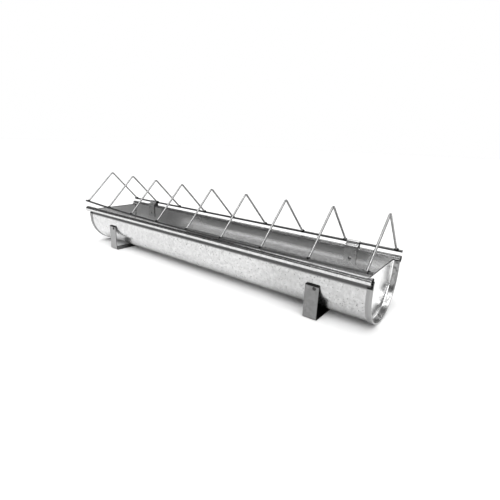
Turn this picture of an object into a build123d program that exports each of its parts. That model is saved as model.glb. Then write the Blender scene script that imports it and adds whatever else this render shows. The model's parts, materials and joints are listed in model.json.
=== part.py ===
"""Galvanized poultry feeder: a folded sheet trough on two strap feet, with a hinged wire grille over it.

Millimetres. The feeder stands on Z = 0 with its length along X and its middle at the origin.
The hinge side is +Y. The front is -Y, where the grille's loose rail lies on the trough's rolled rim.
"""
import os
from math import asin, cos, degrees, pi, sin, sqrt

from build123d import *

# Trough sheet
trough_length = 500.0
sheet = 0.6
belly_radius = 44.0
wall_height = 14.8
bead_diameter = 8.2
curl_gap_angle = 42.0
slip_gap = 0.05

# End plates
plate_inset = 8.5
plate_drop = 0.6
plate_bend_radius = 2.0
rim_band_width = 6.0
rim_band_drop = 3.0
rim_edge_radius = 0.45

# Strap feet
strap_width = 16.4
strap_thickness = 1.0
strap_corner_radius = 2.5
strap_end_radius = 2.0
foot_end_drop = 5.2
foot_inset_left = 68.5
foot_inset_right = 62.5
belly_gap = 0.3

# Rivets
rivet_diameter = 3.0
rivet_head_diameter = 4.4
rivet_head_height = 1.1
rivet_tail_diameter = 4.2
rivet_tail_height = 0.8
foot_rivet_offset = 2.8
foot_rivet_drop = 4.3
clip_rivet_rise = 6.9

# Wire grille
rail_diameter = 3.0
rail_setback = 0.6
rail_outset = 1.7
rear_rail_rise = 8.8
rail_bow = 8.0
rail_low_x = 50.0
rail_rest_gap = 0.3
hoop_count = 9
hoop_end_margin = 6.6
hoop_diameter = 2.5
hoop_rise = 49.3
hoop_bend_radius = 3.0
weld_gap = 0.03

# Hinge clips
clip_width = 16.0
clip_thickness = 0.8
clip_side_play = 0.5
clip_running_gap = 0.08
clip_bend_radius = 1.4
clip_shoulder_gap = 0.5
clip_foot_gap = 2.5

# Heights and half widths that the sizes above settle
inner_radius = belly_radius - sheet
belly_z = strap_thickness + belly_gap + belly_radius
bead_radius = bead_diameter / 2
bead_y = inner_radius + bead_radius
bead_z = belly_z + wall_height
rail_radius = rail_diameter / 2
rail_y = bead_y + rail_outset
rear_rail_z = bead_z + rear_rail_rise
rail_length = trough_length - 2 * rail_setback
rivet_radius = rivet_diameter / 2
rivet_hole_radius = rivet_radius + slip_gap
foot_face_y = belly_radius + slip_gap
foot_height = belly_z - foot_end_drop
foot_rivet_z = foot_height - foot_rivet_drop
left_foot_x = foot_inset_left - trough_length / 2
right_foot_x = trough_length / 2 - foot_inset_right


def half_width(radius, z):
    """Half width of the trough at height z, on its inner or outer face."""
    drop = belly_z - z
    return radius if drop <= 0 else sqrt(radius**2 - drop**2)


def on_section(sketch):
    """Stands a sketch up in the YZ plane: its x becomes Y and its y becomes Z."""
    return Plane.YZ * sketch


def strip(points, radii, thickness, width):
    """A strap that follows a path in the YZ plane, thick on its left side and centred on X = 0."""
    path = FilletPolyline(*points, radius=radii)
    outline = offset(path, amount=thickness, side=Side.LEFT, kind=Kind.ARC, closed=True)
    return extrude(on_section(make_face(outline)), width / 2, both=True)


# Trough: one sheet, round below and straight above, with both edges rolled outward into beads
def rolled_edge(side):
    """The curl on one edge, open where the end of the sheet comes back to the wall."""
    centre = Location((side * bead_y, bead_z))
    ring = Circle(bead_radius) - Circle(bead_radius - sheet)
    reach = 2 * bead_radius
    start = pi if side > 0 else 0.0
    stop = start + side * curl_gap_angle * pi / 180
    gap = Polygon(
        (0, 0),
        (reach * cos(start), reach * sin(start)),
        (reach * cos(stop), reach * sin(stop)),
        align=None,
    )
    return centre * (ring - gap)


def trough_section():
    belly = Pos(0, belly_z) * (Circle(belly_radius) - Circle(inner_radius))
    lower = Pos(0, belly_z - belly_radius / 2) * Rectangle(2 * belly_radius, belly_radius)
    section = belly & lower
    wall_y = belly_radius - sheet / 2
    for side in (-1, 1):
        section += Pos(side * wall_y, belly_z + wall_height / 2) * Rectangle(sheet, wall_height)
        section += rolled_edge(side)
    return section


def rivet_hole(x, y, z):
    """A cutter along Y through whatever stands at y."""
    return Pos(x, y, z) * Rot(90, 0, 0) * Cylinder(rivet_hole_radius, belly_radius / 2)


def make_trough():
    body_length = trough_length - 2 * (sheet + slip_gap)
    trough = extrude(on_section(trough_section()), body_length / 2, both=True)
    for foot_x in (left_foot_x, right_foot_x):
        for side in (-1, 1):
            trough -= rivet_hole(foot_x + foot_rivet_offset, side * belly_radius, foot_rivet_z)
    for clip_x in (-clip_centre_x, clip_centre_x):
        trough -= rivet_hole(clip_x, belly_radius, clip_rivet_z)
    return trough


# End plates: pressed pans set in from the ends, whose rims fold back over the sheet's edges
def rim_profile():
    """The rim cut lengthways, for the right end: x along the feeder, y out from the belly's axis."""
    end_x = trough_length / 2
    plate_x = end_x - plate_inset
    flange = inner_radius - slip_gap
    band = belly_radius + slip_gap + sheet
    bend = plate_bend_radius + sheet
    stub = flange - bend - 1.0
    skin = Polygon((plate_x, stub), (end_x, stub), (end_x, band), (plate_x, band), align=None)
    skin -= Polygon(
        (plate_x + sheet, stub),
        (end_x, stub),
        (end_x, flange - sheet),
        (plate_x + sheet, flange - sheet),
        align=None,
    )
    skin -= Polygon(
        (plate_x, flange),
        (end_x - sheet, flange),
        (end_x - sheet, band - sheet),
        (end_x - rim_band_width, band - sheet),
        (end_x - rim_band_width, band),
        (plate_x, band),
        align=None,
    )
    outer = skin.vertices().sort_by_distance((plate_x, flange))[0]
    skin = fillet(outer, bend)
    inner = skin.vertices().sort_by_distance((plate_x + sheet, flange - sheet))[0]
    skin = fillet(inner, plate_bend_radius)
    lips = [(end_x, band), (end_x, flange - sheet)]
    for lip in lips:
        skin = fillet(skin.vertices().sort_by_distance(lip)[0], rim_edge_radius)
    return skin


def make_end_plate(end):
    """end is 1 for the right plate and -1 for the left one."""
    top_z = bead_z - plate_drop
    rise = top_z - belly_z
    profile = Pos(0, 0, belly_z) * rim_profile()
    rim = revolve(profile, Axis((0, 0, belly_z), (1, 0, 0)), revolution_arc=-180)
    for side in (-1, 1):
        wall_profile = profile if side > 0 else mirror(profile, Plane.XZ)
        rim += extrude(wall_profile, rise, dir=(0, 0, 1))
    flat = inner_radius - slip_gap - plate_bend_radius - sheet
    pan = Pos(0, belly_z) * (Circle(flat) & (Pos(0, -flat / 2) * Rectangle(2 * flat, flat)))
    pan += Pos(0, belly_z + rise / 2) * Rectangle(2 * flat, rise)
    pan_x = trough_length / 2 - plate_inset
    plate = rim + extrude(Pos(pan_x, 0, 0) * on_section(pan), sheet, dir=(1, 0, 0))
    band_top = bead_z - bead_radius - rim_band_drop
    clear = Box(3 * rim_band_width, 4 * belly_radius, 2 * belly_radius)
    clear -= Box(3 * rim_band_width, 2 * inner_radius + sheet, 2 * belly_radius)
    plate -= Pos(trough_length / 2, 0, band_top + belly_radius) * clear
    return plate if end > 0 else mirror(plate, Plane.YZ)


# Feet: one strap each, bent up both sides of the belly
def make_foot(foot_x):
    outer_y = foot_face_y + strap_thickness
    path = [(-outer_y, foot_height), (-outer_y, 0), (outer_y, 0), (outer_y, foot_height)]
    foot = strip(path, strap_corner_radius, strap_thickness, strap_width)
    ends = foot.edges().filter_by(Axis.Y).group_by(Axis.Z)[-1]
    foot = fillet(ends, strap_end_radius)
    for side in (-1, 1):
        foot -= rivet_hole(foot_rivet_offset, side * foot_face_y, foot_rivet_z)
    return Pos(foot_x, 0, 0) * foot


def make_rivet(x, head_y, tail_y, z):
    """A domed rivet along Y: its head seats at head_y and its upset tail at tail_y."""
    outward = 1 if head_y > tail_y else -1
    grip = abs(head_y - tail_y)
    head_radius = rivet_head_diameter / 2
    dome = (head_radius**2 + rivet_head_height**2) / (2 * rivet_head_height)
    cap = Sphere(dome) & (Pos(0, 0, dome) * Box(4 * dome, 4 * dome, 2 * rivet_head_height))
    head = Pos(0, 0, rivet_head_height - dome) * cap
    shank = Pos(0, 0, -grip / 2) * Cylinder(rivet_radius, grip)
    tail = Pos(0, 0, -grip - rivet_tail_height / 2) * Cylinder(rivet_tail_diameter / 2, rivet_tail_height)
    rivet = head + shank + tail
    rivet = fillet(rivet.edges().filter_by(GeomType.CIRCLE).sort_by(Axis.Z)[0], rivet_tail_height / 3)
    return Pos(x, head_y, z) * Rot(-90 * outward, 0, 0) * rivet


# Grille: two rails joined by bent hoops, loose at the front and hinged at the rear
front_rail_low_z = bead_z + sqrt((bead_radius + rail_radius + rail_rest_gap) ** 2 - rail_outset**2)
bow_reach = rail_length / 2 + rail_low_x
bow_radius = (bow_reach**2 + rail_bow**2) / (2 * rail_bow)


def front_rail_z(x):
    """Height of the front rail, which is bowed like a spring and lies on the bead at one place."""
    return front_rail_low_z + bow_radius - sqrt(bow_radius**2 - (x - rail_low_x) ** 2)


def front_rail_path():
    ends = [(x, -rail_y, front_rail_z(x)) for x in (-rail_length / 2, rail_low_x, rail_length / 2)]
    return ThreePointArc(*ends)


def make_front_rail(radius):
    path = front_rail_path()
    return sweep(Plane(path @ 0, z_dir=path % 0) * Circle(radius), path)


def make_rear_rail(radius):
    return Pos(0, rail_y, rear_rail_z) * Rot(0, 90, 0) * Cylinder(radius, rail_length)


hoop_pitch = (rail_length - 2 * hoop_end_margin) / (hoop_count - 1)
hoop_places = [(i - (hoop_count - 1) / 2) * hoop_pitch for i in range(hoop_count)]


def make_hoop(x, rail_cutters):
    """One wire bent over the trough and coped to sit on both rails."""
    front_z = front_rail_z(x)
    apex_z = (front_z + rear_rail_z) / 2 + hoop_rise
    route = [(x, -rail_y, front_z), (x, 0, apex_z), (x, rail_y, rear_rail_z)]
    path = FilletPolyline(*route, radius=hoop_bend_radius)
    wire = sweep(Plane(path @ 0, z_dir=path % 0) * Circle(hoop_diameter / 2), path)
    for cutter in rail_cutters:
        wire -= cutter
    return max(wire.solids(), key=lambda piece: piece.volume)


# Hinge clips: a strap riveted inside the rear wall and hooked over the rear rail
clip_centre_x = hoop_places[-2] + hoop_diameter / 2 + clip_side_play + clip_width / 2
clip_foot_z = foot_height + clip_foot_gap
clip_rivet_z = clip_foot_z + clip_rivet_rise
clip_slot = rail_radius + clip_running_gap
clip_wall_y = half_width(inner_radius, clip_foot_z) - slip_gap


def make_clip(clip_x):
    """The path is the face that lies on the wall and turns round the rail."""
    shoulder_z = bead_z + bead_radius + clip_shoulder_gap
    neck_z = shoulder_z + rail_outset
    top_z = rear_rail_z + clip_slot
    tip_y = rail_y + clip_slot - bead_y
    tip_z = bead_z + sqrt((bead_radius + slip_gap) ** 2 - min(tip_y, bead_radius) ** 2)
    path = [
        (clip_wall_y, clip_foot_z),
        (clip_wall_y, shoulder_z),
        (rail_y - clip_slot, neck_z),
        (rail_y - clip_slot, top_z),
        (rail_y + clip_slot, top_z),
        (rail_y + clip_slot, tip_z),
    ]
    radii = [clip_bend_radius, clip_bend_radius, clip_slot * 0.98, clip_slot * 0.98]
    clip = strip(path, radii, clip_thickness, clip_width)
    clip -= rivet_hole(0, clip_wall_y, clip_rivet_z)
    return Pos(clip_x, 0, 0) * clip


def write(shape, node):
    export_step(shape, f"parts/{node}.step")


def main():
    os.makedirs("parts", exist_ok=True)
    write(make_trough(), "trough_body")
    write(make_end_plate(-1), "end_plate_left")
    write(make_end_plate(1), "end_plate_right")

    foot_tail_y = half_width(inner_radius, foot_rivet_z - rivet_tail_diameter / 2) - slip_gap
    for name, foot_x in (("left", left_foot_x), ("right", right_foot_x)):
        write(make_foot(foot_x), f"foot_{name}")
        for place, side in (("front", -1), ("rear", 1)):
            head_y = side * (foot_face_y + strap_thickness)
            rivet = make_rivet(foot_x + foot_rivet_offset, head_y, side * foot_tail_y, foot_rivet_z)
            write(rivet, f"foot_rivet_{name}_{place}")

    clip_face_y = clip_wall_y - clip_thickness
    clip_tail_y = belly_radius + slip_gap
    for name, clip_x in (("left", -clip_centre_x), ("right", clip_centre_x)):
        write(make_clip(clip_x), f"hinge_clip_{name}")
        write(make_rivet(clip_x, clip_face_y, clip_tail_y, clip_rivet_z), f"clip_rivet_{name}")

    write(make_front_rail(rail_radius), "rail_front")
    write(make_rear_rail(rail_radius), "rail_rear")
    cutters = [make_front_rail(rail_radius + weld_gap), make_rear_rail(rail_radius + weld_gap)]
    for number, x in enumerate(hoop_places, start=1):
        write(make_hoop(x, cutters), f"hoop_{number}")


main()
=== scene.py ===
"""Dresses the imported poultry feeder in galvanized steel, lays its spot welds and sets it in a studio."""

import json
import math

import bpy
from bpy.props import FloatProperty, FloatVectorProperty, PointerProperty, StringProperty
from mathutils import Matrix, Vector, noise


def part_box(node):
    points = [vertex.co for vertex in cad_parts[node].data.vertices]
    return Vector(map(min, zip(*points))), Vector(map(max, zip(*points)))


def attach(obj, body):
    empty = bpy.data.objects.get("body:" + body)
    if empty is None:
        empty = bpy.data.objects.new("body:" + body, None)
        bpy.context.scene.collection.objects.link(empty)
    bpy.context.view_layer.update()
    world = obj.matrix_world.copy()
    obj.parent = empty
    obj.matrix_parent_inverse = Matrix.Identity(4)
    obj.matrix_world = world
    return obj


bl_info = {
    "name": "Poultry trough feeder",
    "version": (1, 0, 0),
    "blender": (4, 5, 0),
    "location": "View3D > Sidebar > Feeder",
    "description": "Finishes a galvanized poultry feeder and sets it on a pale studio floor",
    "category": "Object",
}

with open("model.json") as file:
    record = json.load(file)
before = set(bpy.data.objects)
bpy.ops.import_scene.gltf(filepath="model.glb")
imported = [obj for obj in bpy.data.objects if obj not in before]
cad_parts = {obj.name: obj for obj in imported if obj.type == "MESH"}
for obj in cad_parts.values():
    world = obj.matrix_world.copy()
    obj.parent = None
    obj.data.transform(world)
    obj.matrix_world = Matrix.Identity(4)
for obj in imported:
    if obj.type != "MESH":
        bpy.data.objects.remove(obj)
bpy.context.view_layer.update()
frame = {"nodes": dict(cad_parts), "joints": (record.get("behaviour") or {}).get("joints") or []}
MM = 0.001

# The Mix node's colour sockets, which share their names with its float sockets
MIX_A, MIX_B, MIX_RESULT = 6, 7, 2

SIDES = ("left", "right")
PLATES = tuple(f"end_plate_{side}" for side in SIDES)
FEET = tuple(f"foot_{side}" for side in SIDES)
FOOT_RIVETS = tuple(f"foot_rivet_{side}_{face}" for side in SIDES for face in ("front", "rear"))
CLIPS = tuple(f"hinge_clip_{side}" for side in SIDES)
CLIP_RIVETS = tuple(f"clip_rivet_{side}" for side in SIDES)
RAILS = ("rail_front", "rail_rear")
HOOPS = tuple(f"hoop_{number}" for number in range(1, 10))

# Driving sizes of the part, in mm: the sheet, its round belly, the wall above it, the rolled rim, and how
# far under that rim the end plates' folded hems end
SHEET = 0.6
BELLY_RADIUS = 44.0
BELLY_Z = 45.3
WALL_HEIGHT = 14.8
BEAD_RADIUS = 4.1
HEM_DROP = 3.0

# The rolled rim's middle and underside, and the top of the hems, in mm
BEAD_Y = BELLY_RADIUS - SHEET + BEAD_RADIUS
BEAD_Z = BELLY_Z + WALL_HEIGHT
UNDER_BEAD = BEAD_Z - BEAD_RADIUS
HEM_TOP = UNDER_BEAD - HEM_DROP

# Places from the frame, in mm: the ends of the trough's sheet and of the end plates, the middle of the
# plates' pans, the feet's tops, and the rear rail, which the hinge turns about
SHEET_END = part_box("trough_body")[1].x / MM
PLATE_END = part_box("end_plate_right")[1].x / MM
PAN_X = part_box("end_plate_right")[0].x / MM + SHEET / 2
FOOT_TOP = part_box("foot_left")[1].z / MM
RAIL_Y, REAR_RAIL_Z = (value / MM for value in frame["joints"][0]["pos_m"][1:])

# The front rail sags: its lowest point and the radius of its bend there, in mm
FRONT_RAIL_LOW_X = 50.0
FRONT_RAIL_LOW_Z = 65.75
FRONT_RAIL_BEND = 5530.0

# Zinc crystals: how much their faces differ in lean, as a slope; the width and the shift of the rags on
# their edges, in crystal widths; and the roughness of the glossiest and the dullest, beside the material's
CRYSTAL_LEAN = 0.021
RAG_WIDTH = 0.8
RAG_SHIFT = 0.5
GLOSSIEST = 0.85
DULLEST = 1.25

# Width of a ragged patch, in worn marks and in painted shade, and of a speck of dirt, in mm; real specks
# are half as wide, which is too fine to show in the picture
PATCH_MM = 3.5
SPECK_MM = 1.4

# Limits for marks: the outside and the inside of the trough's sheet, the outside of the end plates' hems,
# and the inside of their rims
RIM_RADIUS = BELLY_RADIUS - 2.5
SHEET_OUTSIDE = ("R", BELLY_RADIUS - 0.25, BELLY_RADIUS + 1.6, 0.1)
SHEET_INSIDE = ("R", BELLY_RADIUS - 1.4, BELLY_RADIUS - 0.5, 0.1)
HEM_OUTSIDE = ("R", BELLY_RADIUS + 0.02, BELLY_RADIUS + 2.0, 0.05)
RIM_INSIDE = ("R", RIM_RADIUS, BELLY_RADIUS - 0.1, 0.2)

# A strap's sheared edges face along the feeder
STRAP_EDGE = ("SIDE", 0.7, 1.4, 0.1)


def towards(azimuth, elevation):
    """The direction to a point seen at an azimuth from the front and an elevation, in radians."""
    level = math.cos(elevation)
    return Vector((math.sin(azimuth) * level, -math.cos(azimuth) * level, math.sin(elevation)))


# Colours and nodes
def srgb(hex_colour):
    """A hex sRGB colour as linear RGBA."""
    parts = [int(hex_colour[i : i + 2], 16) / 255 for i in (1, 3, 5)]
    linear = [c / 12.92 if c <= 0.04045 else ((c + 0.055) / 1.055) ** 2.4 for c in parts]
    return (*linear, 1.0)


def add_node(tree, kind, links=None, values=None, **settings):
    """Adds a node, sets its attributes and socket values, and links {socket: (node, output)} into it."""
    node = tree.nodes.new(kind)
    for name, value in settings.items():
        setattr(node, name, value)
    for socket, value in (values or {}).items():
        node.inputs[socket].default_value = value
    for socket, (source, output) in (links or {}).items():
        tree.links.new(source.outputs[output], node.inputs[socket])
    return node


def new_material(name):
    """An empty node material, with its tree and output node."""
    material = bpy.data.materials.new(name)
    material.use_nodes = True
    tree = material.node_tree
    tree.nodes.clear()
    output = add_node(tree, "ShaderNodeOutputMaterial")
    return material, tree, output


def per_mm(size_mm):
    """The texture scale, in metres, at which one cell of a pattern measures size_mm."""
    return 1000.0 / size_mm


# Marks: dirt, rubbed zinc, bare steel, and painted light and shade
def measures(tree, place):
    """The sockets that marks are placed by, in mm.

    ALONG runs from the left end to the right, X and Y count from the middle either way, and Z from the
    floor. R counts from the belly's axis, and above it from the middle plane. SIDE is 1 on faces that look
    along the feeder, and PATCH and SPECK run from 0 to 1 in ragged patches and in fine grains.
    """
    point = {"Vector": (place, "Object")}
    in_mm = add_node(
        tree, "ShaderNodeVectorMath", {0: (place, "Object")}, {"Scale": 1 / MM}, operation="SCALE"
    )
    parts = add_node(tree, "ShaderNodeSeparateXYZ", {"Vector": (in_mm, "Vector")})
    along = add_node(tree, "ShaderNodeMath", {0: (parts, "X")}, operation="ABSOLUTE")
    across = add_node(tree, "ShaderNodeMath", {0: (parts, "Y")}, operation="ABSOLUTE")
    above = add_node(tree, "ShaderNodeMath", {0: (parts, "Z")}, {1: BELLY_Z}, operation="SUBTRACT")
    below = add_node(tree, "ShaderNodeMath", {0: (above, "Value")}, {1: 0.0}, operation="MINIMUM")
    spoke = add_node(tree, "ShaderNodeCombineXYZ", {"Y": (across, "Value"), "Z": (below, "Value")})
    reach = add_node(tree, "ShaderNodeVectorMath", {0: (spoke, "Vector")}, operation="LENGTH")
    facing = add_node(tree, "ShaderNodeSeparateXYZ", {"Vector": (place, "Normal")})
    sideways = add_node(tree, "ShaderNodeMath", {0: (facing, "X")}, operation="ABSOLUTE")
    patch = add_node(tree, "ShaderNodeTexNoise", point, {"Scale": per_mm(PATCH_MM), "Detail": 2.0})
    speck = add_node(tree, "ShaderNodeTexNoise", point, {"Scale": per_mm(SPECK_MM), "Detail": 0.0})
    return {
        "ALONG": (parts, "X"),
        "X": (along, "Value"),
        "Y": (across, "Value"),
        "Z": (parts, "Z"),
        "R": (reach, "Value"),
        "SIDE": (sideways, "Value"),
        "PATCH": (patch, "Fac"),
        "SPECK": (speck, "Fac"),
    }


def between(tree, measure, low, high, soft):
    """1 where a measure lies from low to high, fading to 0 over a width of soft.

    A fade about as wide as the whole range leaves the mark half clear, so that what is under it shows.
    """
    off = add_node(tree, "ShaderNodeMath", {0: measure}, {1: (low + high) / 2}, operation="SUBTRACT")
    gap = add_node(tree, "ShaderNodeMath", {0: (off, "Value")}, operation="ABSOLUTE")
    half = (high - low) / 2
    inside = add_node(
        tree,
        "ShaderNodeMapRange",
        {"Value": (gap, "Value")},
        {"From Min": half - soft / 2, "From Max": half + soft / 2, "To Min": 1.0, "To Max": 0.0},
        interpolation_type="SMOOTHSTEP",
    )
    return inside, "Result"


def lay_marks(tree, place, marks, paint, gloss):
    """Lays marks over a surface's colour and roughness, each on those before it.

    A mark is (limits, colour, roughness), and shows where all its limits hold. A limit is
    (measure, low, high, soft).
    """
    sockets = measures(tree, place)
    for limits, mark_colour, dullness in marks:
        where = None
        for measure, *edges in limits:
            mask = between(tree, sockets[measure], *edges)
            if where:
                both = add_node(tree, "ShaderNodeMath", {0: where, 1: mask}, operation="MULTIPLY")
                mask = (both, "Value")
            where = mask
        wear_and_painted_light = add_node(
            tree,
            "ShaderNodeMix",
            {"Factor": where, MIX_A: paint},
            {MIX_B: srgb(mark_colour)},
            data_type="RGBA",
        )
        sheen = add_node(tree, "ShaderNodeMix", {"Factor": where, "A": gloss}, {"B": dullness})
        paint, gloss = (wear_and_painted_light, MIX_RESULT), (sheen, "Result")
    return paint, gloss


def stretch_of(name, spare=5.0):
    """The stretch of the feeder that a CAD node takes up and a spare margin, as a limit for marks."""
    low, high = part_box(name)
    return ("ALONG", low.x / MM - spare, high.x / MM + spare, 1.0)


# Zinc
def frozen_crystals(tree, place, width_mm):
    """Ragged zinc crystals: a Voronoi node whose colour is random from crystal to crystal."""
    rags = add_node(
        tree,
        "ShaderNodeTexNoise",
        {"Vector": (place, "Object")},
        {"Scale": per_mm(width_mm * RAG_WIDTH), "Detail": 2.0},
    )
    ragged = add_node(
        tree,
        "ShaderNodeVectorMath",
        {0: (rags, "Color"), 2: (place, "Object")},
        {1: (width_mm * RAG_SHIFT * MM,) * 3},
        operation="MULTIPLY_ADD",
    )
    return add_node(
        tree,
        "ShaderNodeTexVoronoi",
        {"Vector": (ragged, "Vector")},
        {"Scale": per_mm(width_mm), "Randomness": 1.0},
    )


def buckled(tree, place, swells):
    """The relief of a sheet that isn't flat.

    A swell is (width in mm, depth in mm, squeeze), where a squeeze under 1 draws it out along the feeder.
    """
    relief = None
    for width_mm, depth_mm, squeeze in swells:
        drawn = add_node(
            tree,
            "ShaderNodeVectorMath",
            {0: (place, "Object")},
            {1: (squeeze, 1.0, 1.0)},
            operation="MULTIPLY",
        )
        swell = add_node(
            tree,
            "ShaderNodeTexNoise",
            {"Vector": (drawn, "Vector")},
            {"Scale": per_mm(width_mm), "Detail": 1.0},
        )
        links = {"Height": (swell, "Fac")}
        if relief:
            links["Normal"] = (relief, "Normal")
        relief = add_node(tree, "ShaderNodeBump", links, {"Strength": 1.0, "Distance": depth_mm * MM})
    return relief


def galvanized_steel(name, colour, roughness, crystal_mm, contrast, swells, marks=()):
    """Steel under a skin of zinc that froze in crystals.

    The crystals differ a little in brightness, gloss and lean, so that the surface is faintly mottled and
    catches the light grain by grain, and its swells turn reflections into soft uneven bands. contrast is
    how much darker than the colour the darkest crystal is, from 0 to 1.
    """
    material, tree, output = new_material(name)
    place = add_node(tree, "ShaderNodeTexCoord")
    crystals = frozen_crystals(tree, place, crystal_mm)
    tone = add_node(tree, "ShaderNodeSeparateColor", {"Color": (crystals, "Color")})
    light = srgb(colour)
    dark = (*(c * (1 - contrast) for c in light[:3]), 1.0)
    mottled = add_node(
        tree,
        "ShaderNodeMix",
        {"Factor": (tone, "Red")},
        {MIX_A: dark, MIX_B: light},
        data_type="RGBA",
    )
    glossy = add_node(
        tree,
        "ShaderNodeMapRange",
        {"Value": (tone, "Green")},
        {"To Min": roughness * GLOSSIEST, "To Max": roughness * DULLEST},
    )
    paint, gloss = (mottled, MIX_RESULT), (glossy, "Result")
    if marks:
        paint, gloss = lay_marks(tree, place, marks, paint, gloss)
    # A crystal lies up to a degree or so off its neighbours
    lean = add_node(
        tree,
        "ShaderNodeVectorMath",
        {0: (crystals, "Color"), 2: (buckled(tree, place, swells), "Normal")},
        {1: (CRYSTAL_LEAN,) * 3},
        operation="MULTIPLY_ADD",
    )
    facet = add_node(
        tree,
        "ShaderNodeVectorMath",
        {0: (lean, "Vector")},
        {1: (CRYSTAL_LEAN / 2,) * 3},
        operation="SUBTRACT",
    )
    surface = add_node(
        tree,
        "ShaderNodeBsdfPrincipled",
        {"Base Color": paint, "Roughness": gloss, "Normal": (facet, "Vector")},
        {"Metallic": 1.0},
    )
    tree.links.new(surface.outputs["BSDF"], output.inputs["Surface"])
    return material


def dress(names, material):
    """Gives CAD nodes one material."""
    for name in names:
        node = frame["nodes"][name]
        node.data.materials.clear()
        node.data.materials.append(material)


# Sizes and colours that a user may change
class FeederFinish(bpy.types.PropertyGroup):
    """Colour of the zinc on each kind of piece, as sRGB hex, and the width of crystals and welds."""

    sheet: StringProperty(name="Trough", description="Zinc on the trough's sheet", default="#E2E2E2")
    plate: StringProperty(name="End plates", description="Zinc on the end plates", default="#F8F8F8")
    strap: StringProperty(name="Feet", description="Zinc on the feet and clip rivets", default="#8E8E8E")
    clip: StringProperty(name="Clips", description="Zinc on the hinge clips", default="#C6C6C6")
    rivet: StringProperty(name="Foot rivets", description="Dull zinc on the foot rivets", default="#505050")
    wire: StringProperty(name="Hoops", description="Zinc on the drawn hoops", default="#9A9A9A")
    rail: StringProperty(name="Rails", description="Dull zinc on the rails", default="#606060")
    burnt_weld: StringProperty(name="Burnt welds", description="Scorched zinc", default="#1C1C1C")
    worn_weld: StringProperty(name="Worn welds", description="Zinc on the front welds", default="#282828")
    crystal: FloatProperty(
        name="Crystal", description="Width of a zinc crystal on the sheets", default=3 * MM, unit="LENGTH"
    )
    weld: FloatProperty(
        name="Weld", description="Width of a plain spot weld", default=4.6 * MM, unit="LENGTH"
    )


class FeederWear(bpy.types.PropertyGroup):
    """Colour of worn, dulled, dirty and bare places, and of painted light and shade, as sRGB hex."""

    # The inside, darker in ragged patches
    inside_patches: StringProperty(name="Scoured", description="Inside, where feed slides", default="#D0D0D0")
    # Painted shade on the inside, just under the rolled rims
    painted_shade_under_rim: StringProperty(name="Weathered", description="Wall above the feed", default="#ACACAC")
    # Painted light: a pool of light on the inside by the right end
    painted_light_right_end: StringProperty(name="Fresh", description="Inside, by the right end", default="#FFFFFF")
    # Painted shade: the belly darker towards the right end
    painted_shade_right_end: StringProperty(name="Faded", description="Belly by the right end", default="#B2B2B2")
    speck: StringProperty(name="Specks", description="Dark specks on the belly", default="#888888")
    # Dirt on the feet's sheared edges, and painted shade in the crease under the rolled rim
    edge_dirt_and_bead_shade: StringProperty(name="Grime", description="Dirt in creases and on edges", default="#5A5A5A")
    # Bare steel on sheared edges, and painted shade in the rolled rim's hollow, under its ends and along
    # the tops of the end plates and feet
    bare_steel_and_shade: StringProperty(name="Bare edges", description="Steel where it was sheared", default="#2A2A2A")
    pan_inside: StringProperty(name="Pan inside", description="End plate's feed side", default="#D4D4D4")
    pan_outside: StringProperty(name="Pan outside", description="End plate's outer side", default="#FAFAFA")
    rim: StringProperty(name="Rim", description="Rubbed zinc on the rims", default="#A4A4A4")
    rim_patch: StringProperty(name="Rim patches", description="Dull patches in the rims", default="#7C7C7C")
    hem: StringProperty(name="Hem", description="Zinc by the folded edges", default="#9C9C9C")
    # Painted shade: black in the left end plate's corners under the rolled rims
    painted_black_shade: StringProperty(name="Scorched", description="Burnt corner at the left", default="#101010")
    # Painted light on the outsides of the left foot
    sheen: StringProperty(name="Rubbed", description="Outside of the left foot", default="#A8A8A8")
    # Painted shade: black inside the right foot
    painted_black_inside: StringProperty(name="Blackened", description="Inside of the right foot", default="#141414")


class FeederStudio(bpy.types.PropertyGroup):
    """Colour of the floor, and the camera."""

    floor: StringProperty(name="Floor", description="Colour of the paper, sRGB hex", default="#FAFAFA")
    camera_place: FloatVectorProperty(
        name="Camera", description="Place of the camera", default=(0.3364, -0.3566, 0.1782), unit="LENGTH"
    )
    azimuth: FloatProperty(
        name="Azimuth",
        description="Camera's bearing from the front",
        default=math.radians(36.67),
        unit="ROTATION",
    )
    elevation: FloatProperty(
        name="Elevation", description="Camera's downward tilt", default=math.radians(16.94), unit="ROTATION"
    )
    roll: FloatProperty(
        name="Roll", description="Camera's sideways tilt", default=math.radians(2.37), unit="ROTATION"
    )
    lens: FloatProperty(
        name="Lens", description="Focal length on a 36 mm sensor", default=25.0, unit="CAMERA"
    )


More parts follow.
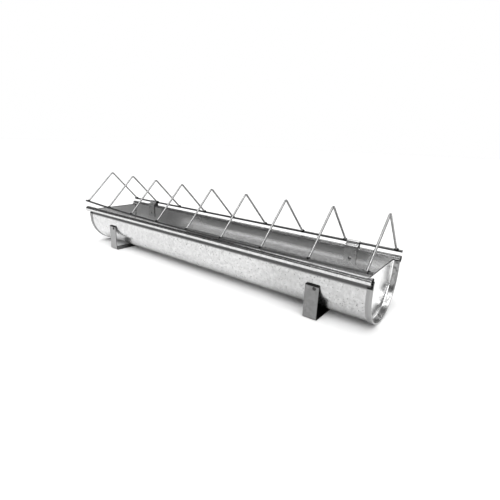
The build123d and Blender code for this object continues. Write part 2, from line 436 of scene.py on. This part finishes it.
# Materials of the pieces
def rolled_sheet(finish, wear):
    """Hot-dip galvanized sheet, rolled to shape.

    The eye sees a bright, faintly mottled skin. Rolling has drawn long shallow streaks along it, and inside
    it is darker in ragged patches. Painted shade darkens it under the rolled rim inside and out, in the
    roll's hollow and notches at its ends, and on the belly towards the right end; painted light brightens
    the inside by the right end.
    """
    # The inside is darker in ragged, half-clear patches
    patchy_inside = (SHEET_INSIDE, ("PATCH", 0.4, 1.5, 1.4))
    # Painted shade: a darker band on the inside, just under the rolled rims, towards the right
    shade_under_rims_inside = (("ALONG", -70.0, 260.0, 60.0), ("Z", 50.0, 62.0, 5.0), SHEET_INSIDE)
    # Painted light: a pool of light on the inside by the right end
    light_pool_right_end = (("ALONG", 216.0, 244.0, 14.0), SHEET_INSIDE)
    # Painted shade: the belly darker, in ragged patches, towards the right end
    shade_towards_right_end = (("ALONG", 125.0, 260.0, 50.0), SHEET_OUTSIDE, ("PATCH", 0.5, 1.5, 1.2))
    specks = (("ALONG", -60.0, 260.0, 120.0), SHEET_OUTSIDE, ("SPECK", 0.73, 1.2, 0.1))
    # Painted shade: a dark band on the outside just under the rolled rim
    crease = (("Z", UNDER_BEAD - 5.4, UNDER_BEAD + 1.0, 3.0), SHEET_OUTSIDE)
    # Painted shade: dark notches at the sheet's ends, under the rolled rim
    shade_at_bead_ends = (
        ("X", SHEET_END - 2.0, SHEET_END + 1.0, 0.6),
        ("Z", UNDER_BEAD - 4.5, UNDER_BEAD + 2.0, 0.8),
        SHEET_OUTSIDE,
    )
    cut_end = (("X", SHEET_END - 0.35, SHEET_END + 1.0, 0.3),)
    # Painted shade: the hollow inside the rolled rim is painted dark
    shade_inside_roll = (("Z", BEAD_Z - 3.3, BEAD_Z + 3.3, 0.5), ("Y", BEAD_Y - 3.3, BEAD_Y + 3.3, 0.5))
    return galvanized_steel(
        "galvanized_steel_sheet",
        finish.sheet,
        roughness=0.22,
        crystal_mm=finish.crystal / MM,
        contrast=0.2,
        swells=((70, 0.15, 1.0), (14, 0.15, 0.06)),
        marks=(
            (patchy_inside, wear.inside_patches, 0.22),
            (shade_under_rims_inside, wear.painted_shade_under_rim, 0.3),
            (light_pool_right_end, wear.painted_light_right_end, 0.2),
            (shade_towards_right_end, wear.painted_shade_right_end, 0.25),
            (specks, wear.speck, 0.35),
            (crease, wear.edge_dirt_and_bead_shade, 0.5),
            (shade_at_bead_ends, wear.bare_steel_and_shade, 0.6),
            (cut_end, wear.bare_steel_and_shade, 0.6),
            (shade_inside_roll, wear.bare_steel_and_shade, 0.6),
        ),
    )


def pressed_plate(finish, wear):
    """Galvanized sheet, deep-pressed into a pan.

    The eye sees almost white zinc, smoothed by the press, with small dents, a rubbed and patchy rim and
    dark sheared edges. The top edge is dark as sheared steel and as painted shade under the rolled rims,
    and the left plate's corners under the rims are painted black as shade.
    """
    rim = ("X", PAN_X + 1.8, PLATE_END + 1.0, 1.0)
    pan_inside = (("X", PAN_X - 3.8, PAN_X, 0.2),)
    pan_outside = (("X", PAN_X, PAN_X + 1.8, 0.2), ("R", 0.0, RIM_RADIUS, 0.4))
    hem_edge = (HEM_OUTSIDE, ("X", PLATE_END - 8.0, PLATE_END - 2.7, 1.0))
    patches = (rim, RIM_INSIDE, ("PATCH", 0.53, 1.1, 0.08))
    hem_top = (HEM_OUTSIDE, ("Z", HEM_TOP - 1.6, HEM_TOP + 1.0, 0.6))
    lip = (("X", PLATE_END - 1.4, PLATE_END + 1.0, 0.6), ("R", RIM_RADIUS, BELLY_RADIUS + 0.6, 0.2))
    # Dark top edge: bare sheared steel, and painted shade where the plate meets the rolled rims
    cut_and_shaded_top = (("Z", BEAD_Z - 1.5, BEAD_Z + 1.0, 0.3),)
    # Painted shade: the left end plate's corners under the rolled rims are painted black
    black_shade_left_corners = (
        ("ALONG", -PLATE_END - 1.0, -PLATE_END + 1.3, 0.7),
        ("Z", UNDER_BEAD - 9.0, UNDER_BEAD + 6.0, 3.0),
        ("Y", BELLY_RADIUS - 1.5, BELLY_RADIUS + 2.0, 0.05),
    )
    return galvanized_steel(
        "galvanized_steel_pressed",
        finish.plate,
        roughness=0.25,
        crystal_mm=finish.crystal / MM,
        contrast=0.06,
        swells=((12, 0.08, 1.0),),
        marks=(
            (pan_inside, wear.pan_inside, 0.5),
            (pan_outside, wear.pan_outside, 0.24),
            ((HEM_OUTSIDE,), wear.rim, 0.4),
            (hem_edge, wear.hem, 0.45),
            ((rim, RIM_INSIDE), wear.rim, 0.15),
            (patches, wear.rim_patch, 0.3),
            (hem_top, wear.bare_steel_and_shade, 0.5),
            (lip, wear.hem, 0.3),
            (cut_and_shaded_top, wear.bare_steel_and_shade, 0.5),
            (black_shade_left_corners, wear.painted_black_shade, 0.6),
        ),
    )


def bent_strap(finish, wear):
    """Galvanized strap, sheared and bent into a foot.

    The eye sees dull grey zinc with dark sheared edges; the dark band at the top is the sheared edge and
    painted shade of the gap under the belly. The outsides of the left foot carry painted light, and the
    inside of the right one is painted black as shade.
    """
    # Painted light on the outsides of the left foot
    light_on_left_foot = (stretch_of("foot_left"), ("Y", BELLY_RADIUS + 0.5, BELLY_RADIUS + 2.0, 0.2))
    # Dark band at the top: the sheared top edge, and painted shade of the gap under the belly
    sheared_and_shaded_top = (("Z", FOOT_TOP - 1.9, FOOT_TOP + 1.0, 0.5),)
    # Painted shade: the inside of the right foot is painted black
    shade_inside_right_foot = (stretch_of("foot_right"), ("Y", 0.0, BELLY_RADIUS + 0.3, 0.2))
    return galvanized_steel(
        "galvanized_steel_strap",
        finish.strap,
        roughness=0.42,
        crystal_mm=3.0,
        contrast=0.15,
        swells=((15, 0.08, 1.0),),
        marks=(
            (light_on_left_foot, wear.sheen, 0.4),
            (sheared_and_shaded_top, wear.bare_steel_and_shade, 0.6),
            ((STRAP_EDGE,), wear.edge_dirt_and_bead_shade, 0.6),
            (shade_inside_right_foot, wear.painted_black_inside, 0.6),
        ),
    )


def rolled_clip(finish, wear):
    """Thin galvanized strap, rolled round the rear rail: clean light zinc with dark sheared edges."""
    return galvanized_steel(
        "galvanized_steel_clip",
        finish.clip,
        roughness=0.3,
        crystal_mm=3.0,
        contrast=0.15,
        swells=((15, 0.08, 1.0),),
        marks=(((STRAP_EDGE,), wear.bare_steel_and_shade, 0.6),),
    )


def plated_rivet(name, colour, roughness):
    """Zinc-plated rivet, headed cold: a small dull dome, slightly uneven from the hammer."""
    return galvanized_steel(
        name, colour, roughness, crystal_mm=1.5, contrast=0.2, swells=((3, 0.05, 1.0),)
    )


def drawn_wire(name, colour, roughness):
    """Galvanized wire, drawn and then bent: a soft grey shine that wavers along its length."""
    return galvanized_steel(
        name, colour, roughness, crystal_mm=2.0, contrast=0.2, swells=((6, 0.04, 1.0),)
    )


def weld_metal(name, colour, roughness):
    """Spot weld with its zinc burnt off: a rough, almost black lump that hardly shines."""
    return galvanized_steel(
        name, colour, roughness, crystal_mm=1.0, contrast=0.3, swells=((1.5, 0.06, 1.0),)
    )


def white_paper(colour):
    """Matt white paper, which keeps the contact shadow soft and gives back no reflection."""
    material, tree, output = new_material("white_paper_matt")
    surface = add_node(
        tree,
        "ShaderNodeBsdfPrincipled",
        values={"Base Color": srgb(colour), "Roughness": 0.9, "Specular IOR Level": 0.1},
    )
    tree.links.new(surface.outputs["BSDF"], output.inputs["Surface"])
    return material


# Pieces
class FEEDER_OT_trough(bpy.types.Operator):
    """Finish the trough's sheet."""

    bl_idname = "feeder.trough"
    bl_label = "Trough"

    def execute(self, context):
        scene = context.scene
        dress(["trough_body"], rolled_sheet(scene.feeder_finish, scene.feeder_wear))
        return {"FINISHED"}


class FEEDER_OT_end_plates(bpy.types.Operator):
    """Finish the two pressed end plates."""

    bl_idname = "feeder.end_plates"
    bl_label = "End plates"

    def execute(self, context):
        scene = context.scene
        dress(PLATES, pressed_plate(scene.feeder_finish, scene.feeder_wear))
        return {"FINISHED"}


class FEEDER_OT_straps(bpy.types.Operator):
    """Finish the feet and the hinge clips, which are cut from strap."""

    bl_idname = "feeder.straps"
    bl_label = "Feet and clips"

    def execute(self, context):
        scene = context.scene
        dress(FEET, bent_strap(scene.feeder_finish, scene.feeder_wear))
        dress(CLIPS, rolled_clip(scene.feeder_finish, scene.feeder_wear))
        return {"FINISHED"}


class FEEDER_OT_rivets(bpy.types.Operator):
    """Finish the rivets: dull ones in the feet and cleaner ones in the clips."""

    bl_idname = "feeder.rivets"
    bl_label = "Rivets"

    def execute(self, context):
        finish = context.scene.feeder_finish
        dress(FOOT_RIVETS, plated_rivet("zinc_plated_rivet", finish.rivet, 0.4))
        dress(CLIP_RIVETS, plated_rivet("zinc_plated_rivet_clean", finish.strap, 0.45))
        return {"FINISHED"}


class FEEDER_OT_grille(bpy.types.Operator):
    """Finish the grille's hoops and its duller rails."""

    bl_idname = "feeder.grille"
    bl_label = "Wire grille"

    def execute(self, context):
        finish = context.scene.feeder_finish
        dress(HOOPS, drawn_wire("galvanized_steel_wire_drawn", finish.wire, 0.3))
        dress(RAILS, drawn_wire("galvanized_steel_rail_dull", finish.rail, 0.35))
        return {"FINISHED"}


# A spot weld's faces round and down
WELD_SPOKES = 20
WELD_RINGS = 12

# Its height, the flare of its foot and the size of its bumps, as shares of its width, how many bumps come
# to half a width, and how far apart in the noise two welds lie
WELD_HEIGHT = 1.9 / 2.3
WELD_FLARE = 0.28
WELD_BUMP = 0.1
WELD_BUMP_COUNT = 1.7
WELD_NOISE_STEP = 3.1

# A hoop's welds: name, shift along the rail and height above the rail's middle, both in mm, and width
# beside a plain weld's. The last hoop's front foot was welded twice.
REAR_WELD = ("rear", 0.0, 1.1, 1.15)
FRONT_WELD = ("front", 0.0, 0.8, 0.95)
LAST_FRONT_WELDS = (("front_inner", -3.6, 0.3, 0.75), ("front_outer", 1.8, 0.1, 1.0))

# The welds lie a little nearer the middle than the rails do, and a rear one beside a clip steps away from
# the clip, in mm
WELD_Y = RAIL_Y * 0.985
CLIP_SIDESTEP = 0.9


def front_rail_height(x):
    """Height of the bowed front rail's middle, in mm."""
    return FRONT_RAIL_LOW_Z + (x - FRONT_RAIL_LOW_X) ** 2 / (2 * FRONT_RAIL_BEND)


def ball(spokes, rings):
    """Corners and faces of a ball of radius 1, in the same order on each run."""
    corners = [Vector((0.0, 0.0, 1.0))]
    for ring in range(1, rings):
        for spoke in range(spokes):
            corners.append(towards(math.tau * spoke / spokes, math.pi / 2 - math.pi * ring / rings))
    corners.append(Vector((0.0, 0.0, -1.0)))
    top, bottom = 0, len(corners) - 1
    faces = []
    for spoke in range(spokes):
        left = 1 + spoke
        right = 1 + (spoke + 1) % spokes
        faces.append((left, right, top))
        for _ in range(rings - 2):
            faces.append((right + spokes, right, left, left + spokes))
            left += spokes
            right += spokes
        faces.append((bottom, right, left))
    return corners, faces


def weld_nugget(name, place, width, seed):
    """A squeezed lump of metal, with its foot wrapped round the rail; place and width are in mm."""
    corners, faces = ball(WELD_SPOKES, WELD_RINGS)
    skin = []
    for corner in corners:
        x, y, z = corner
        flare = 1.0 + WELD_FLARE * max(0.0, -z)
        spot = corner * WELD_BUMP_COUNT + Vector((seed * WELD_NOISE_STEP, 0.0, 0.0))
        swell = 1.0 + WELD_BUMP * noise.noise(spot)
        skin.append(Vector((x, y * flare, z * WELD_HEIGHT)) * swell * width / 2 * MM)
    mesh = bpy.data.meshes.new(name)
    mesh.from_pydata(skin, [], faces)
    mesh.shade_smooth()
    nugget = bpy.data.objects.new(name, mesh)
    nugget.location = place * MM
    bpy.context.scene.collection.objects.link(nugget)
    return nugget


class FEEDER_OT_welds(bpy.types.Operator):
    """Lay a spot weld at each foot of each hoop."""

    bl_idname = "feeder.welds"
    bl_label = "Spot welds"

    def execute(self, context):
        finish = context.scene.feeder_finish
        burnt = weld_metal("spot_weld_burnt_zinc", finish.burnt_weld, 0.55)
        worn = weld_metal("spot_weld_worn_zinc", finish.worn_weld, 0.5)
        sidesteps = {HOOPS[1]: CLIP_SIDESTEP, HOOPS[-2]: -CLIP_SIDESTEP}
        for number, hoop in enumerate(HOOPS):
            low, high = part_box(hoop)
            x = (low.x + high.x) / 2 / MM
            rear = (x + sidesteps.get(hoop, 0.0), WELD_Y, REAR_RAIL_Z)
            front = (x, -WELD_Y, front_rail_height(x))
            feet = [(rear, REAR_WELD, burnt)]
            if hoop == HOOPS[-1]:
                feet += [(front, weld, burnt) for weld in LAST_FRONT_WELDS]
            else:
                feet.append((front, FRONT_WELD, worn))
            for foot, (side, shift, rise, share), zinc in feet:
                place = Vector(foot) + Vector((shift, 0.0, rise))
                width = share * finish.weld / MM
                nugget = weld_nugget(f"weld_{number + 1}_{side}", place, width, number)
                nugget.data.materials.append(zinc)
                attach(nugget, "grille")
        return {"FINISHED"}


# Lights: name, azimuth counted from the front to the right, elevation, spread (in degrees) and strength
SOFT_LIGHTS = (
    ("softbox_overhead", 5, 68, 50, 2.45),
    ("softbox_right", 60, 32, 38, 1.15),
    ("fill_front", 5, 10, 30, 0.31),
    ("fill_behind_left", 225, 50, 36, 0.38),
    ("fill_behind_left_low", 234, 27, 22, 0.12),
    ("fill_behind", 198, 13, 24, 0.12),
    ("fill_behind_right", 140, 17, 34, 0.3),
)

# Brightness of the walls round the table: in front, low behind, high behind, and the backdrop that the
# camera sees instead
WALL_FRONT = 0.09
WALL_BACK_LOW = 0.13
WALL_BACK_HIGH = 0.38
BACKDROP = 1.0

# Where the walls change: from front to back, as the Y of a direction, and from low to high behind, as its Z
FRONT_TO_BACK = (-0.3, 0.5)
LOW_TO_HIGH = (0.42, 0.56)

# Half the width of the floor, in metres
FLOOR_HALF = 12.0


def add_soft_sun(name, azimuth, elevation, spread, strength):
    """A broad, even light that comes from one side at one height."""
    lamp = bpy.data.lights.new(name, "SUN")
    lamp.angle = math.radians(spread)
    lamp.energy = strength
    sun = bpy.data.objects.new(name, lamp)
    sun.rotation_mode = "QUATERNION"
    source = towards(math.radians(azimuth), math.radians(elevation))
    sun.rotation_quaternion = source.to_track_quat("Z", "Y")
    bpy.context.scene.collection.objects.link(sun)


def light_world():
    """Dim walls round the table, lighter and rising behind it, and a plain white backdrop for the eye."""
    world = bpy.data.worlds.new("studio")
    bpy.context.scene.world = world
    world.use_nodes = True
    tree = world.node_tree
    tree.nodes.clear()
    output = add_node(tree, "ShaderNodeOutputWorld")
    place = add_node(tree, "ShaderNodeTexCoord")
    bearing = add_node(tree, "ShaderNodeSeparateXYZ", {"Vector": (place, "Generated")})
    behind = add_node(
        tree,
        "ShaderNodeMapRange",
        {"Value": (bearing, "Z")},
        {
            "From Min": LOW_TO_HIGH[0],
            "From Max": LOW_TO_HIGH[1],
            "To Min": WALL_BACK_LOW,
            "To Max": WALL_BACK_HIGH,
        },
    )
    walls = add_node(
        tree,
        "ShaderNodeMapRange",
        {"Value": (bearing, "Y"), "To Max": (behind, "Result")},
        {"From Min": FRONT_TO_BACK[0], "From Max": FRONT_TO_BACK[1], "To Min": WALL_FRONT},
        interpolation_type="SMOOTHSTEP",
    )
    path = add_node(tree, "ShaderNodeLightPath")
    seen = add_node(
        tree, "ShaderNodeMix", {"Factor": (path, "Is Camera Ray"), "A": (walls, "Result")}, {"B": BACKDROP}
    )
    sky = add_node(
        tree, "ShaderNodeBackground", {"Strength": (seen, "Result")}, {"Color": (1.0, 1.0, 1.0, 1.0)}
    )
    tree.links.new(sky.outputs["Background"], output.inputs["Surface"])


def lay_floor(colour):
    """A wide sheet of paper under the feeder, which belongs to the stage."""
    mesh = bpy.data.meshes.new("floor")
    corners = [(x * FLOOR_HALF, y * FLOOR_HALF, 0.0) for x, y in ((-1, -1), (1, -1), (1, 1), (-1, 1))]
    mesh.from_pydata(corners, [], [(0, 1, 2, 3)])
    mesh.materials.append(white_paper(colour))
    floor = bpy.data.objects.new("floor", mesh)
    bpy.context.scene.collection.objects.link(floor)


def set_camera(studio):
    """A camera that stands and tilts as the photograph's did."""
    lens = bpy.data.cameras.new("camera")
    lens.sensor_width = 36.0
    lens.lens = studio.lens
    lens.clip_start = 0.01
    back = towards(studio.azimuth, studio.elevation)
    level = Vector((math.cos(studio.azimuth), math.sin(studio.azimuth), 0.0))
    upright = back.cross(level)
    right = level * math.cos(studio.roll) + upright * math.sin(studio.roll)
    up = back.cross(right)
    turn = Matrix((right, up, back)).transposed().to_4x4()
    camera = bpy.data.objects.new("camera", lens)
    camera.matrix_world = Matrix.Translation(studio.camera_place) @ turn
    bpy.context.scene.collection.objects.link(camera)
    bpy.context.scene.camera = camera


class FEEDER_OT_studio(bpy.types.Operator):
    """Set the floor, the lights and the camera."""

    bl_idname = "feeder.studio"
    bl_label = "Studio"

    def execute(self, context):
        studio = context.scene.feeder_studio
        lay_floor(studio.floor)
        for light in SOFT_LIGHTS:
            add_soft_sun(*light)
        light_world()
        set_camera(studio)
        context.scene.view_settings.view_transform = "Standard"
        return {"FINISHED"}


class FEEDER_PT_panel(bpy.types.Panel):
    """Lists the feeder's sizes, colours and pieces."""

    bl_idname = "FEEDER_PT_panel"
    bl_label = "Poultry feeder"
    bl_space_type = "VIEW_3D"
    bl_region_type = "UI"
    bl_category = "Feeder"

    def draw(self, context):
        scene = context.scene
        for group in (scene.feeder_finish, scene.feeder_wear, scene.feeder_studio):
            box = self.layout.box()
            for name in group.__annotations__:
                box.prop(group, name)
        for piece in PIECES:
            self.layout.operator(piece.bl_idname)


PIECES = (
    FEEDER_OT_trough,
    FEEDER_OT_end_plates,
    FEEDER_OT_straps,
    FEEDER_OT_rivets,
    FEEDER_OT_grille,
    FEEDER_OT_welds,
    FEEDER_OT_studio,
)
CLASSES = (FeederFinish, FeederWear, FeederStudio, *PIECES, FEEDER_PT_panel)


def register():
    for cls in CLASSES:
        bpy.utils.register_class(cls)
    bpy.types.Scene.feeder_finish = PointerProperty(type=FeederFinish)
    bpy.types.Scene.feeder_wear = PointerProperty(type=FeederWear)
    bpy.types.Scene.feeder_studio = PointerProperty(type=FeederStudio)


def unregister():
    del bpy.types.Scene.feeder_studio
    del bpy.types.Scene.feeder_wear
    del bpy.types.Scene.feeder_finish
    for cls in reversed(CLASSES):
        bpy.utils.unregister_class(cls)


def main():
    register()
    for piece in PIECES:
        group, action = piece.bl_idname.split(".")
        getattr(getattr(bpy.ops, group), action)()


if __name__ == "__main__":
    main()
